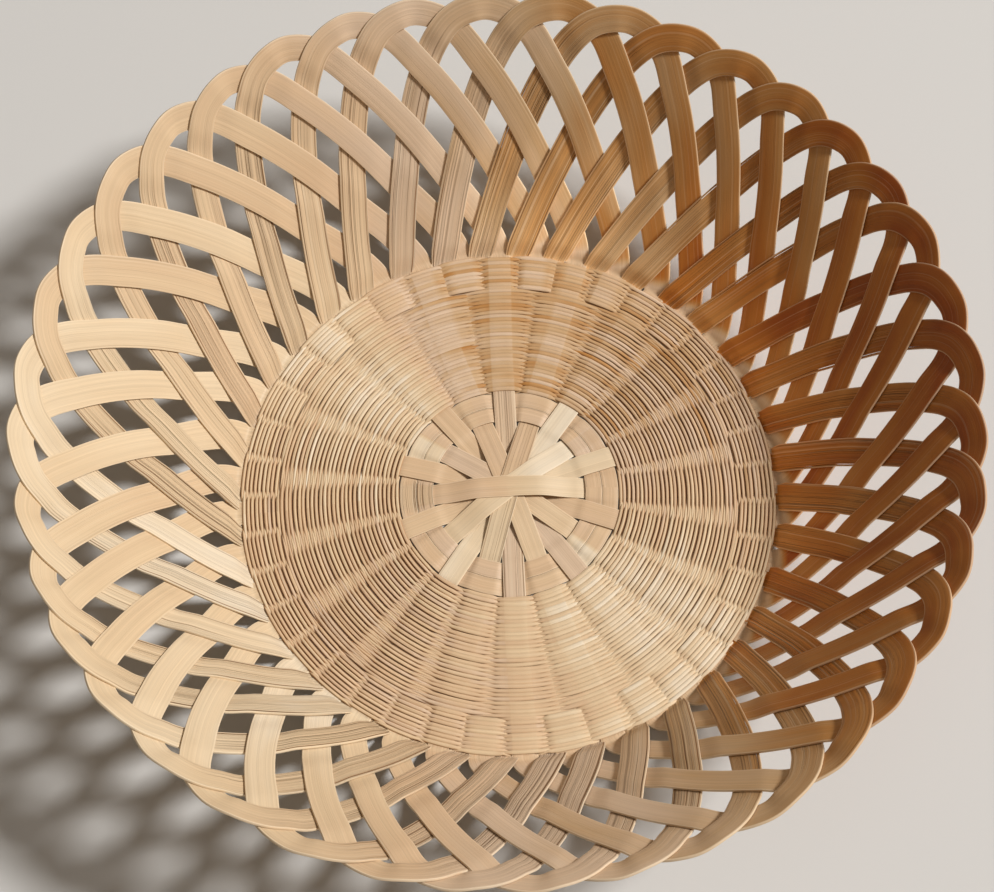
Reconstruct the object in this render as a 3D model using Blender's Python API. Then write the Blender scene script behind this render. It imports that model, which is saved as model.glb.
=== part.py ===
# Round open-work bamboo basket: a flat woven base, and a wall of flat splints.
# Each splint end leaves the base on the outside, leans up to the rim, arches over
# and comes back down on the inside, where its foot is pushed into the base's edge.
# Metres, +Z up. The origin is on the floor, on the basket's axis.

import math

import bmesh
import bpy
import numpy as np

# Overall sizes. The wall sizes are those of the surface midway through the lattice.
rimRadius = 0.150
rimHeight = 0.072
baseRadius = 0.0894
bendRadius = 0.008

# Counts. A long splint crosses the hub and makes two loops, a short one makes one.
longSplintCount = 10
stakesPerSpoke = 2

# Splints: narrow and thin at the hub, wide on the wall, thin again at the foot
splintThickness = 0.0008
neckThickness = 0.0005
hubThickness = 0.00035
footThickness = 0.0005
wallWidth = 0.0091
edgeWidth = 0.0080
hubWidth = 0.0072
footWidth = 0.0070
footTipWidth = 0.0050
footDepth = 0.0090

# Gaps between pieces
latticeGap = 0.00035
hubGap = 0.00015
slotGap = 0.0003
hubLift = 0.0001

# Woven base: a thin field, and a thicker band that also holds the feet
weaveSkin = 0.0004
bandWidth = 0.0124
fieldLead = 0.0012

# The two flat splints that bind the hub
binderWidth = 0.00515
binderThickness = 0.0005
binderLead = 0.0035

# Way of a loop from its foot to its stake: turn in pitches, climb as a share of the crown's
routeShares = [
    (0.00, 0.000),
    (0.17, 0.123),
    (0.51, 0.319),
    (0.90, 0.549),
    (1.32, 0.773),
    (1.78, 0.946),
    (2.31, 1.000),
    (2.84, 0.946),
    (3.32, 0.773),
    (3.90, 0.549),
    (4.51, 0.319),
    (5.17, 0.123),
    (5.50, 0.000),
]
crownPoint = 6
widenShare = 0.12
crownTwistShare = 0.29

# A leg changes side between two crossings: where, counted down from the rim, and
# half of the free way there, both in pitches
sideChangeShares = [(3.5, 0.20), (1.5, 0.18)]

firstSpokeAngle = math.radians(2.75)
basketColour = (0.66, 0.47, 0.27, 1.0)
smoothAngle = math.radians(35)

# Faceting
curveSteps = 24
bendSteps = 3
legSteps = 2
faceSteps = 3
archSteps = 4
ringSegments = 80

# Derived sizes of the base
spokeCount = 2 * longSplintCount
stakeCount = spokeCount * stakesPerSpoke
pitch = math.tau / stakeCount
stakeSlot = splintThickness + 2 * slotGap
footSlot = footThickness + 2 * slotGap
stakeLevel = weaveSkin + stakeSlot / 2
fieldHeight = 2 * weaveSkin + stakeSlot
footLevel = fieldHeight + footSlot / 2
bandHeight = fieldHeight + footSlot + weaveSkin
bandInner = baseRadius - bandWidth
fieldOuter = bandInner - slotGap

# Derived sizes of the hub: where neighbouring splints part, and the layers there
samePart = hubWidth / 2 / math.tan(math.tau / spokeCount)
nextPart = hubWidth / 2 / math.tan(math.pi / spokeCount)
hubLayer = hubThickness + hubGap
binderInner = nextPart + binderLead
binderMiddle = binderInner + binderWidth
binderOuter = binderMiddle + slotGap + binderWidth
fieldInner = binderOuter + fieldLead
binderShift = (neckThickness + binderThickness) / 4 + slotGap / 2

# Derived sizes of the wall: a bend at its foot, then a straight slope to the rim
seatLevel = (stakeLevel + footLevel) / 2
baseShift = (footLevel - stakeLevel) / 2
wallShift = (splintThickness + latticeGap) / 2
wallRun = rimRadius - baseRadius
wallRise = rimHeight - seatLevel
wallSlope = math.atan2(wallRise - bendRadius, wallRun) + math.asin(
    bendRadius / math.hypot(wallRun, wallRise - bendRadius))
bendLength = bendRadius * wallSlope
wallSlant = bendLength + (wallRun - bendRadius * math.sin(wallSlope)) / math.cos(wallSlope)
crownSlant = wallSlant - wallWidth / 2


def clearScene():
    for item in list(bpy.data.objects):
        bpy.data.objects.remove(item, do_unlink=True)


def bambooMaterial(name):
    material = bpy.data.materials.new(name)
    material.use_nodes = True
    shader = material.node_tree.nodes["Principled BSDF"]
    shader.inputs["Base Color"].default_value = basketColour
    shader.inputs["Roughness"].default_value = 0.6
    shader.inputs["Metallic"].default_value = 0.0
    return material


def addObject(name, vertices, faces):
    mesh = bpy.data.meshes.new(name)
    mesh.from_pydata(vertices, [], faces)
    shell = bmesh.new()
    shell.from_mesh(mesh)
    bmesh.ops.recalc_face_normals(shell, faces=shell.faces)
    shell.to_mesh(mesh)
    shell.free()
    mesh.materials.append(bambooMaterial(name))
    mesh.shade_smooth()
    mesh.set_sharp_from_angle(angle=smoothAngle)
    item = bpy.data.objects.new(name, mesh)
    bpy.context.scene.collection.objects.link(item)
    return item


def wallRadius(slant):
    lean = np.clip(slant / bendRadius, 0, wallSlope)
    beyond = np.maximum(slant - bendLength, 0)
    inside = np.minimum(slant, 0)
    return baseRadius + inside + bendRadius * np.sin(lean) + beyond * math.cos(wallSlope)


def wallPoint(angle, slant, shift):
    # A point on the wall's middle surface, moved by shift towards the basket's inside
    lean = min(max(slant / bendRadius, 0), wallSlope)
    beyond = max(slant - bendLength, 0)
    height = seatLevel + bendRadius * (1 - math.cos(lean)) + beyond * math.sin(wallSlope)
    around = np.array([math.cos(angle), math.sin(angle), 0.0])
    upward = np.array([0.0, 0.0, 1.0])
    inward = math.cos(lean) * upward - math.sin(lean) * around
    return wallRadius(slant) * around + height * upward + shift * inward, inward


def loopCurve():
    # The loop's centre line as dense turns and slants, by smooth steps through the route
    points = np.array(routeShares) * np.array([1.0, crownSlant])
    middle = wallRadius((points[1:, 1] + points[:-1, 1]) / 2)
    strides = np.hypot(np.diff(points[:, 0]) * pitch * middle, np.diff(points[:, 1]))
    knots = np.concatenate([[0.0], np.cumsum(strides)])
    slopes = np.zeros_like(points)
    slopes[1:-1] = (points[2:] - points[:-2]) / (knots[2:] - knots[:-2])[:, None]
    slopes[0] = (0.0, 1.0)
    slopes[-1] = (0.0, -1.0)
    fraction = np.linspace(0, 1, curveSteps, endpoint=False)[:, None]
    pieces = []
    for i, stride in enumerate(strides):
        rise = fraction ** 2 * (3 - 2 * fraction)
        pieces.append(points[i] * (1 - rise) + points[i + 1] * rise
                      + stride * slopes[i] * fraction * (1 - fraction) ** 2
                      - stride * slopes[i + 1] * fraction ** 2 * (1 - fraction))
    return np.concatenate(pieces + [points[-1:]])


def loopRails():
    # Both long edges of a loop, point by point, as turns in pitches and slants
    centre = loopCurve()
    crown = crownPoint * curveSteps
    turn, slant = centre[:, 0], centre[:, 1]
    radius = wallRadius(slant)
    across = np.gradient(turn) * pitch * radius
    along = np.gradient(slant)
    length = np.hypot(across, along)
    rootWidth = np.where(np.arange(len(turn)) < crown, footWidth, edgeWidth)
    grown = np.clip(slant / (widenShare * crownSlant), 0, 1)
    half = (rootWidth + (wallWidth - rootWidth) * grown) / 2
    offTurn = -along / length * half / radius / pitch
    offSlant = across / length * half
    return centre, [(turn + side * offTurn, slant + side * offSlant) for side in (1, -1)]


def crossingCount(centre, rail, crown):
    # How many crossings down from the rim each point of a rail lies, whole on a crossing
    legTop = routeShares[crownPoint - 1][1] * crownSlant
    rising = np.arange(len(centre)) <= crown
    inner = centre[rising & (centre[:, 1] <= legTop)]
    outer = centre[~rising & (centre[:, 1] <= legTop)][::-1]
    innerTurn = np.interp(rail[1], inner[:, 1], inner[:, 0])
    outerTurn = np.interp(rail[1], outer[:, 1], outer[:, 0])
    return np.where(rising, outerTurn - rail[0], rail[0] - innerTurn)


def loopStations():
    # Stations from foot to stake: a place on each rail, and the side of the lattice
    centre, rails = loopRails()
    crown = crownPoint * curveSteps
    steps = np.arange(len(centre))
    counts = [crossingCount(centre, rail, crown) for rail in rails]

    def atSlant(slant, rising):
        part = steps[:crown] if rising else steps[crown:][::-1]
        place = np.interp(slant, centre[part, 1], part)
        return (place, place)

    def atCrossing(value, rising):
        part = steps[:crown + 1][::-1] if rising else steps[crown:]
        return tuple(np.interp(value, count[part], part) for count in counts)

    strides = np.hypot(np.gradient(centre[:, 0]) * pitch * wallRadius(centre[:, 1]),
                       np.gradient(centre[:, 1]))
    twist = crownTwistShare * wallWidth / strides[crown]
    stations = []
    for rising in (True, False):
        leg = [(atSlant(0, rising), 1, bendSteps)]
        leg.append((atSlant(bendLength, rising), 1, legSteps))
        side = 1
        for crossing, free in sideChangeShares:
            leg.append((atCrossing(crossing + free, rising), side, 1))
            side = -side
            leg.append((atCrossing(crossing - free, rising), side, faceSteps))
        leg[-1] = leg[-1][:2] + (archSteps,)
        place = crown - twist if rising else crown + twist
        leg.append(((place, place), side, 1))
        if rising:
            stations += leg
        else:
            stations += [(place, -side, count) for place, side, count in mirrored(leg)]
    return rails, steps, stations, crown


def mirrored(leg):
    # The other leg runs the other way, so each step count moves to the station before
    counts = [count for _, _, count in leg]
    backwards = list(reversed(leg))
    return [(place, side, counts[len(leg) - 2 - i] if i < len(leg) - 1 else 1)
            for i, (place, side, _) in enumerate(backwards)]


def loopSections():
    # Cross-sections of one loop from its foot's edge to its stake's edge
    rails, steps, stations, crown = loopStations()
    sections = []
    for i, (place, side, count) in enumerate(stations):
        last = i == len(stations) - 1
        nextPlace, nextSide = (place, side) if last else stations[i + 1][:2]
        for k in range(1 if last else count):
            f = k / count
            ends = []
            for rail, start, finish in zip(rails, place, nextPlace):
                where = start + (finish - start) * f
                turn = np.interp(where, steps, rail[0])
                slant = np.interp(where, steps, rail[1])
                rooted = min(max(slant / bendLength, 0), 1)
                reach = baseShift + (wallShift - baseShift) * rooted
                thick = splintThickness
                if where < crown:
                    thick = footThickness + (splintThickness - footThickness) * rooted
                ends.append((turn, slant, (side + (nextSide - side) * f) * reach, thick))
            sections.append(ends)
    return sections


def placedLoop(sections, stakeAngle):
    # The loop's sections in space, for a stake that leaves the base at stakeAngle
    span = routeShares[-1][0]
    placed = []
    for ends in sections:
        section = []
        for turn, slant, shift, thick in ends:
            point, inward = wallPoint(stakeAngle + (span - turn) * pitch, slant, shift)
            section.append((point, inward, thick))
        placed.append(section)
    return placed


def straightSection(angle, distance, level, width, thick):
    # A level cross-section at a distance from the axis along a radius
    along = np.array([math.cos(angle), math.sin(angle), 0.0])
    clockwise = np.array([math.sin(angle), -math.cos(angle), 0.0])
    upward = np.array([0.0, 0.0, 1.0])
    centre = along * distance + upward * level
    return [(centre + clockwise * width / 2, upward, thick),
            (centre - clockwise * width / 2, upward, thick)]


def footSection(stakeAngle):
    # The foot's tip inside the band, on the loop's own foot line
    angle = stakeAngle + routeShares[-1][0] * pitch
    left, right = straightSection(angle, baseRadius - footDepth, footLevel, footTipWidth, footThickness)
    return [right, left]


def splintWidthAt(distance):
    share = (distance - nextPart) / (baseRadius - nextPart)
    return hubWidth + (edgeWidth - hubWidth) * min(max(share, 0), 1)


def hubSections(angle, layer, under):
    # From the field's inner edge to the axis: past the binders, then up into the stack
    if under:
        level, start, finish = stakeLevel + hubLayer / 2, samePart + fieldLead * 2, nextPart
    else:
        level, start, finish = stakeLevel - hubLayer / 2, samePart + slotGap, nextPart - binderLead
    neck = stakeLevel - binderShift if under else stakeLevel + binderShift
    stack = hubLift + hubThickness / 2 + layer * hubLayer
    stations = [
        (fieldInner, stakeLevel, splintThickness),
        (binderOuter, neck, neckThickness),
        (binderInner, neck, neckThickness),
        (nextPart, level, hubThickness),
        (start, stack, hubThickness),
        (0.0, stack, hubThickness),
    ]
    if not under:
        stations.insert(4, (finish, level, hubThickness))
    return [straightSection(angle, distance, height, splintWidthAt(distance), thick)
            for distance, height, thick in stations]


def sweptSplint(name, sections):
    # One closed flat solid through four-cornered cross-sections
    vertices = []
    for (left, leftUp, leftThick), (right, rightUp, rightThick) in sections:
        vertices += [left + leftUp * leftThick / 2, right + rightUp * rightThick / 2,
                     right - rightUp * rightThick / 2, left - leftUp * leftThick / 2]
    faces = [(3, 2, 1, 0)]
    for i in range(len(sections) - 1):
        a, b = 4 * i, 4 * i + 4
        for j in range(4):
            k = (j + 1) % 4
            faces.append((a + j, a + k, b + k, b + j))
    last = 4 * (len(sections) - 1)
    faces.append((last, last + 1, last + 2, last + 3))
    return addObject(name, [tuple(v) for v in vertices], faces)


def halfLongSplint(sections, angle, layer, under):
    # From the foot's tip through the loop and the base to the axis
    half = [footSection(angle)] + placedLoop(sections, angle)[:-1]
    half.append(straightSection(angle, baseRadius, stakeLevel, edgeWidth, splintThickness))
    return half + hubSections(angle, layer, under)


def makeLongSplints(sections):
    # Every second long splint lies in the upper half of the hub's stack
    for i in range(longSplintCount):
        angle = firstSpokeAngle + i * math.tau / spokeCount
        under = i % 2 == 0
        place = (longSplintCount - 1 - i) // 2
        layer = place + math.ceil(longSplintCount / 2) if under else place
        near = halfLongSplint(sections, angle, layer, under)
        far = halfLongSplint(sections, angle + math.pi, layer, under)[:-1]
        whole = near + [(right, left) for left, right in reversed(far)]
        sweptSplint(f"long_splint_{i + 1:02d}", whole)


def makeShortSplints(sections):
    # Stakes added in the band between the spokes, so that the wall is close enough
    made = 0
    for i in range(stakeCount):
        if i % stakesPerSpoke == 0:
            continue
        made += 1
        angle = firstSpokeAngle + i * pitch
        whole = [footSection(angle)] + placedLoop(sections, angle)[:-1]
        whole.append(straightSection(angle, baseRadius, stakeLevel, edgeWidth, splintThickness))
        end = bandInner + slotGap
        whole.append(straightSection(angle, end, stakeLevel, edgeWidth, splintThickness))
        sweptSplint(f"short_splint_{made:02d}", whole)


def makeBinder(name, inner, outer):
    # A flat ring that passes over the lower splints' neighbours and under the others
    vertices = []
    for spoke in range(spokeCount):
        shift = binderShift if spoke % 2 == 0 else -binderShift
        for side in (-1, 1):
            for radius, level in ((inner, 1), (outer, 1), (outer, -1), (inner, -1)):
                half = math.asin((splintWidthAt(radius) / 2 + hubGap) / radius)
                angle = firstSpokeAngle + spoke * math.tau / spokeCount + side * half
                height = stakeLevel + shift + level * binderThickness / 2
                vertices.append((radius * math.cos(angle), radius * math.sin(angle), height))
    sectionCount = 2 * spokeCount
    faces = []
    for i in range(sectionCount):
        a, b = 4 * i, 4 * ((i + 1) % sectionCount)
        for j in range(4):
            k = (j + 1) % 4
            faces.append((a + j, a + k, b + k, b + j))
    return addObject(name, vertices, faces)


def flatRing(name, inner, outer, height):
    # A ring of rectangular section standing on the floor
    vertices = []
    for i in range(ringSegments):
        angle = firstSpokeAngle + (i + 0.5) * math.tau / ringSegments
        for radius, level in ((inner, height), (outer, height), (outer, 0.0), (inner, 0.0)):
            vertices.append((radius * math.cos(angle), radius * math.sin(angle), level))
    faces = []
    for i in range(ringSegments):
        a, b = 4 * i, 4 * ((i + 1) % ringSegments)
        for j in range(4):
            k = (j + 1) % 4
            faces.append((a + j, a + k, b + k, b + j))
    return addObject(name, vertices, faces)


def radialSlots(name, slots):
    # Boxes along radii: angle, inner and outer distance, inner and outer width, level, height
    vertices, faces = [], []
    for angle, inner, outer, innerWidth, outerWidth, level, height in slots:
        first = len(vertices)
        near = straightSection(angle, inner, level, innerWidth, height)
        far = straightSection(angle, outer, level, outerWidth, height)
        for left, right in (near, far):
            for point, up, thick in (left, right):
                vertices.append(tuple(point + up * thick / 2))
            for point, up, thick in (right, left):
                vertices.append(tuple(point - up * thick / 2))
        faces.append(tuple(first + j for j in (3, 2, 1, 0)))
        faces.append(tuple(first + j for j in (4, 5, 6, 7)))
        for j in range(4):
            k = (j + 1) % 4
            faces.append((first + j, first + k, first + 4 + k, first + 4 + j))
    item = addObject(name, vertices, faces)
    item.hide_render = True
    item.display_type = "WIRE"
    return item


def cutSlots(item, cutter):
    cut = item.modifiers.new("slots", "BOOLEAN")
    cut.operation = "DIFFERENCE"
    cut.solver = "EXACT"
    cut.object = cutter


def makeField():
    # The fine weaving between hub and band, with a way through it for each spoke
    field = flatRing("woven_field", fieldInner, fieldOuter, fieldHeight)
    slots = []
    for spoke in range(spokeCount):
        angle = firstSpokeAngle + spoke * math.tau / spokeCount
        inner, outer = fieldInner - fieldLead, bandInner
        slots.append((angle, inner, outer, splintWidthAt(inner) + 2 * slotGap,
                      splintWidthAt(outer) + 2 * slotGap, stakeLevel, stakeSlot))
    cutSlots(field, radialSlots("field_slots", slots))


def makeBand():
    # The edge weaving, with a way through for each stake and a pocket for each foot
    band = flatRing("woven_band", bandInner, baseRadius, bandHeight)
    slots = []
    for stake in range(stakeCount):
        angle = firstSpokeAngle + stake * pitch
        width = edgeWidth + 2 * slotGap
        slots.append((angle, fieldOuter - slotGap, baseRadius + bendRadius, width, width,
                      stakeLevel, stakeSlot))
        tip = baseRadius - footDepth - slotGap
        footAngle = angle + routeShares[-1][0] * pitch
        mouth = footWidth + 2 * slotGap
        slots.append((footAngle, tip, baseRadius + slotGap, footTipWidth + 2 * slotGap, mouth,
                      footLevel, footSlot))
    cutSlots(band, radialSlots("band_slots", slots))


def main():
    clearScene()
    sections = loopSections()
    makeLongSplints(sections)
    makeShortSplints(sections)
    makeBinder("hub_binder_inner", binderInner, binderMiddle)
    makeBinder("hub_binder_outer", binderMiddle + slotGap, binderOuter)
    makeField()
    makeBand()


main()
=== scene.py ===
import math
import bpy
import numpy as np
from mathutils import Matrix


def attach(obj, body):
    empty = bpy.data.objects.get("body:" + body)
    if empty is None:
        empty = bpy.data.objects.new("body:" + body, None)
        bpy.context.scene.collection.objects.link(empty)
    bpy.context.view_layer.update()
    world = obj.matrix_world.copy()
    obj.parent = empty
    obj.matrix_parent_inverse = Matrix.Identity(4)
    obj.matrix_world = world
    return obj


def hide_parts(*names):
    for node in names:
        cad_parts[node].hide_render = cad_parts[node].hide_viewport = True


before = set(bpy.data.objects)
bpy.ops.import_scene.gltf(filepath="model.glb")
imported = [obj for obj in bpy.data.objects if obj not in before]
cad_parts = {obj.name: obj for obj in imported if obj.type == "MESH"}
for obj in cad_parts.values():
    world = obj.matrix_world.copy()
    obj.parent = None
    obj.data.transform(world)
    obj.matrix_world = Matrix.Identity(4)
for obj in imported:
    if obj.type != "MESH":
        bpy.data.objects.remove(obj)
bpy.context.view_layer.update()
print("frame loaded:", len(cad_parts), "nodes")

rng = np.random.default_rng(41)


# ---- small tools

def smooth(t):
    t = np.clip(t, 0, 1)
    return t * t * (3 - 2 * t)


def deselectAll():
    bpy.ops.object.select_all(action="DESELECT")


def useObject(item):
    deselectAll()
    item.select_set(True)
    bpy.context.view_layer.objects.active = item


def wander(count, length, step, size):
    # a slow random drift along something that is length long, one bend every step
    knots = rng.normal(0, size, max(int(length / step), 2) + 3)
    return np.interp(np.linspace(0, len(knots) - 1, count), np.arange(len(knots)), knots)


def waves(azimuth, readings):
    # an even curve round the basket through readings of (azimuth in degrees, value)
    def terms(angles):
        return np.stack([np.ones_like(angles)] + [turn(k * angles) for k in range(1, 7)
                                                  for turn in (np.sin, np.cos)], axis=-1)
    at, values = np.array(readings, dtype=float).T
    return terms(azimuth) @ np.linalg.lstsq(terms(np.radians(at)), values, rcond=None)[0]


def handMade(points):
    # the real basket is uneven: hub, base and rim don't share one axis, and the loops aren't evenly spaced
    radius, azimuth = np.hypot(points[..., 0], points[..., 1]), np.arctan2(points[..., 1], points[..., 0])
    rise = np.clip(points[..., 2] / wall["rimHeight"], 0, 1)
    sag = waves(azimuth, uneven["sag"]) * 0.001 * np.sin(np.pi * rise)
    swing = (waves(azimuth, uneven["baseSwing"]) * (1 - rise) + waves(azimuth, uneven["rimSwing"]) * rise
             ) * 0.001 * smooth((radius - uneven["swingFrom"]) / uneven["swingRun"])
    inward = smooth(1 - radius / base["fieldOuter"])[..., None]
    moved = points.copy()
    grown = uneven["rimGrow"] * rise - sag
    moved[..., 0] += grown * np.cos(azimuth) - swing * np.sin(azimuth)
    moved[..., 1] += grown * np.sin(azimuth) + swing * np.cos(azimuth)
    moved[..., :2] += (np.array(uneven["baseLean"]) * (1 - rise[..., None])
                       + np.array(uneven["rimLean"]) * rise[..., None]
                       + np.array(uneven["hubLean"]) * inward)
    return moved


uneven = {
    "baseLean": (0.0018, 0.0),
    "rimLean": (-0.0016, 0.0016),
    "hubLean": (0.0003, 0.0026),
    "swingFrom": 0.045,
    "swingRun": 0.045,
    # how far the loops stand off an even spacing, in mm, by azimuth in degrees
    "baseSwing": [(-165, 2.6), (-150, 2.6), (-120, 1.8), (-90, 0.8), (-60, 2.6), (-30, 1.6), (0, 1.4), (30, 1.0),
                  (60, 0.8), (90, -0.8), (120, -1.2), (145, 0.4), (165, 2.0), (180, 2.4)],
    # how far the middle of the wall lies inside a straight side, in mm
    "sag": [(-150, 0.0), (-120, 0.0), (-90, 0.0), (-60, 0.8), (-35, 1.6), (-15, 2.2), (0, 2.2), (20, 1.4), (40, 0.0),
            (60, 0.2), (90, -0.4), (115, -1.6), (135, -2.2), (150, -1.4), (165, -0.4), (180, 0.0)],
    "rimSwing": [(-165, -0.8), (-150, -3.0), (-135, -4.6), (-110, 0.6), (-90, 1.7), (-75, 3.1), (-60, 5.4),
                 (-45, 7.0), (-30, 7.2), (-15, 5.4), (0, 3.2), (15, 5.0), (30, 3.8), (45, -2.0), (60, -6.4),
                 (85, -5.4), (100, -4.6), (120, -5.4), (135, -6.4), (150, -7.0), (165, -4.6), (180, -1.5)],
    "rimGrow": 0.0010,
}


# ---- the wall's middle surface, and the way of one loop over it

wall = {
    "rimRadius": 0.150,
    "rimHeight": 0.072,
    "baseRadius": 0.0904,
    "bendRadius": 0.0016,
    "seatLevel": 0.00115,       # the stakes' level in the base
    "footDrop": 0.0005,         # how far a foot lies below it, under the last strands
    "wallShift": 0.000575,      # inside and outside of the lattice
    "shiftRun": 0.007,
    "footPull": 0.0018,         # a foot turns up sooner than a stake does
    "footPullRun": 0.020,
    "stakes": 40,
    "firstAngle": math.radians(2.75),
    "stripWidth": 0.0091,
    "stakeWidth": 0.0084,
    "footWidth": 0.0076,
    "grownAt": 0.004,
    "footTipWidth": 0.0046,
    "footDepth": 0.0065,
    "footSink": 0.0004,
    "sideChanges": [(3.5, 0.24), (1.5, 0.22)],   # crossings down from the rim, and free way there
    "crownTwist": 0.42,
    "curveSteps": 24,
    "rowStep": 2,
    # turn in pitches from the foot, and climb as a share of the crown's
    "route": [(-0.07, 0.000), (0.21, 0.123), (0.57, 0.319), (0.96, 0.549), (1.36, 0.773),
              (1.80, 0.946), (2.31, 1.000), (2.85, 0.946), (3.36, 0.773), (3.96, 0.549),
              (4.57, 0.319), (5.21, 0.123), (5.50, 0.000)],
    "crownPoint": 6,
}
pitch = math.tau / wall["stakes"]
wallRun = wall["rimRadius"] - wall["baseRadius"]
wallRise = wall["rimHeight"] - wall["seatLevel"]
wallSlope = math.atan2(wallRise - wall["bendRadius"], wallRun) + math.asin(
    wall["bendRadius"] / math.hypot(wallRun, wallRise - wall["bendRadius"]))
bendLength = wall["bendRadius"] * wallSlope
wallSlant = bendLength + (wallRun - wall["bendRadius"] * math.sin(wallSlope)) / math.cos(wallSlope)
crownSlant = wallSlant - wall["stripWidth"] / 2


def wallRadius(slant):
    lean = np.clip(slant / wall["bendRadius"], 0, wallSlope)
    beyond = np.maximum(slant - bendLength, 0)
    return (wall["baseRadius"] + np.minimum(slant, 0) + wall["bendRadius"] * np.sin(lean)
            + beyond * math.cos(wallSlope))


def wallPoints(angle, slant, shift):
    lean = np.clip(slant / wall["bendRadius"], 0, wallSlope)
    beyond = np.maximum(slant - bendLength, 0)
    radius = wallRadius(slant) - shift * np.sin(lean)
    height = (wall["seatLevel"] + wall["bendRadius"] * (1 - np.cos(lean))
              + beyond * math.sin(wallSlope) + shift * np.cos(lean))
    return np.stack([radius * np.cos(angle), radius * np.sin(angle), height], axis=-1)


def loopWay():
    # dense centre line, what half a width is across it, and where it changes side
    points = np.array(wall["route"]) * np.array([1.0, crownSlant])
    middle = wallRadius((points[1:, 1] + points[:-1, 1]) / 2)
    strides = np.hypot(np.diff(points[:, 0]) * pitch * middle, np.diff(points[:, 1]))
    knots = np.concatenate([[0.0], np.cumsum(strides)])
    slopes = np.zeros_like(points)
    slopes[1:-1] = (points[2:] - points[:-2]) / (knots[2:] - knots[:-2])[:, None]
    slopes[0] = (points[1] - points[0]) / strides[0]
    slopes[-1] = (points[-1] - points[-2]) / strides[-1] * 0.6 + np.array([0.0, -0.4])
    f = np.linspace(0, 1, wall["curveSteps"], endpoint=False)[:, None]
    parts = []
    for i, stride in enumerate(strides):
        rise = f ** 2 * (3 - 2 * f)
        parts.append(points[i] * (1 - rise) + points[i + 1] * rise
                     + stride * slopes[i] * f * (1 - f) ** 2
                     - stride * slopes[i + 1] * f ** 2 * (1 - f))
    centre = np.concatenate(parts + [points[-1:]])
    turn, slant = centre[:, 0], centre[:, 1]
    radius = wallRadius(slant)
    across, along = np.gradient(turn) * pitch * radius, np.gradient(slant)
    length = np.hypot(across, along)
    crown = wall["crownPoint"] * wall["curveSteps"]
    steps = np.arange(len(turn))
    root = np.where(steps < crown, wall["footWidth"], wall["stakeWidth"])
    grown = np.clip(slant / wall["grownAt"], 0, 1)
    half = (root + (wall["stripWidth"] - root) * grown) / 2
    offTurn, offSlant = -along / length / radius / pitch, across / length
    rails = [(turn + side * offTurn * half, slant + side * offSlant * half) for side in (1, -1)]

    legTop = wall["route"][wall["crownPoint"] - 1][1] * crownSlant
    rising = steps <= crown
    inner = centre[rising & (slant <= legTop)]
    outer = centre[~rising & (slant <= legTop)][::-1]
    counts = []
    for railTurn, railSlant in rails:
        innerTurn = np.interp(railSlant, inner[:, 1], inner[:, 0])
        outerTurn = np.interp(railSlant, outer[:, 1], outer[:, 0])
        counts.append(np.where(rising, outerTurn - railTurn, railTurn - innerTurn))

    def atCrossing(value, up):
        part = steps[:crown + 1][::-1] if up else steps[crown:]
        return np.array([np.interp(value, count[part], part) for count in counts])

    changes = []
    for place, free in wall["sideChanges"]:
        changes.append((atCrossing(place + free, True), atCrossing(place - free, True)))
        changes.append((atCrossing(place - free, False), atCrossing(place + free, False)))
    twist = wall["crownTwist"] * wall["stripWidth"] / length[crown]
    changes.append((np.full(2, crown - twist), np.full(2, crown + twist)))
    changes.sort(key=lambda change: change[0].sum())
    signs = [-2, 2, -2, 2, -2]
    distance = np.concatenate([[0.0], np.cumsum(np.hypot(*(np.diff(v) for v in (
        turn * pitch * radius.mean(), slant))))])
    return {"turn": turn, "slant": slant, "half": half, "offTurn": offTurn, "offSlant": offSlant,
            "changes": list(zip(changes, signs)), "crown": crown, "distance": distance}


way = loopWay()
print("one loop's way:", len(way["turn"]), "steps,", round(way["distance"][-1] * 1000), "mm")


def loopRows(stakeAngle, columns, rows, spread):
    # points of one loop for a grid of columns (from -1 to 1), from its foot to its stake
    side = np.ones_like(columns)
    share = (columns + 1) / 2
    for (start, finish), sign in way["changes"]:
        first = start[1] + (start[0] - start[1]) * share
        last = finish[1] + (finish[0] - finish[1]) * share
        side += sign * smooth((rows[:, None] - first) / (last - first))
    at = lambda name: np.interp(rows, np.arange(len(way["turn"])), way[name])
    half = at("half") * spread["width"]
    near = 0.5 - 0.5 * math.sin(stakeAngle + 2.6 * pitch)
    half = half * (1 + variation["nearCrown"] * near ** 2 * np.exp(-((rows - way["crown"]) / 40.0) ** 2))
    slant = at("slant") + spread["lift"] * smooth(at("slant") / crownSlant)
    turn = at("turn") + spread["lean"]
    offset = columns * half[:, None]
    pointSlant = slant[:, None] + at("offSlant")[:, None] * offset
    pointTurn = turn[:, None] + at("offTurn")[:, None] * offset
    # a foot starts low, under the last strands, and a stake at the middle of the base
    rooted = smooth(pointSlant / wall["shiftRun"])
    rising = (rows < way["crown"])[:, None]
    start = np.where(rising, -wall["footDrop"], 0.0)
    bulge = spread["bulge"] * (1 - columns ** 2) * rooted
    angle = stakeAngle + (wall["route"][-1][0] - pointTurn) * pitch
    shift = start + (side * wall["wallShift"] - start) * rooted
    points = wallPoints(angle, pointSlant, shift + bulge)
    pull = np.where(rising, wall["footPull"], 0.0) * np.clip(1 - pointSlant / wall["footPullRun"], 0, 1) ** 2
    points[..., 0] -= pull * np.cos(angle)
    points[..., 1] -= pull * np.sin(angle)
    return points, half


# ---- the flat base: how high a splint lies on its way to the middle

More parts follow.
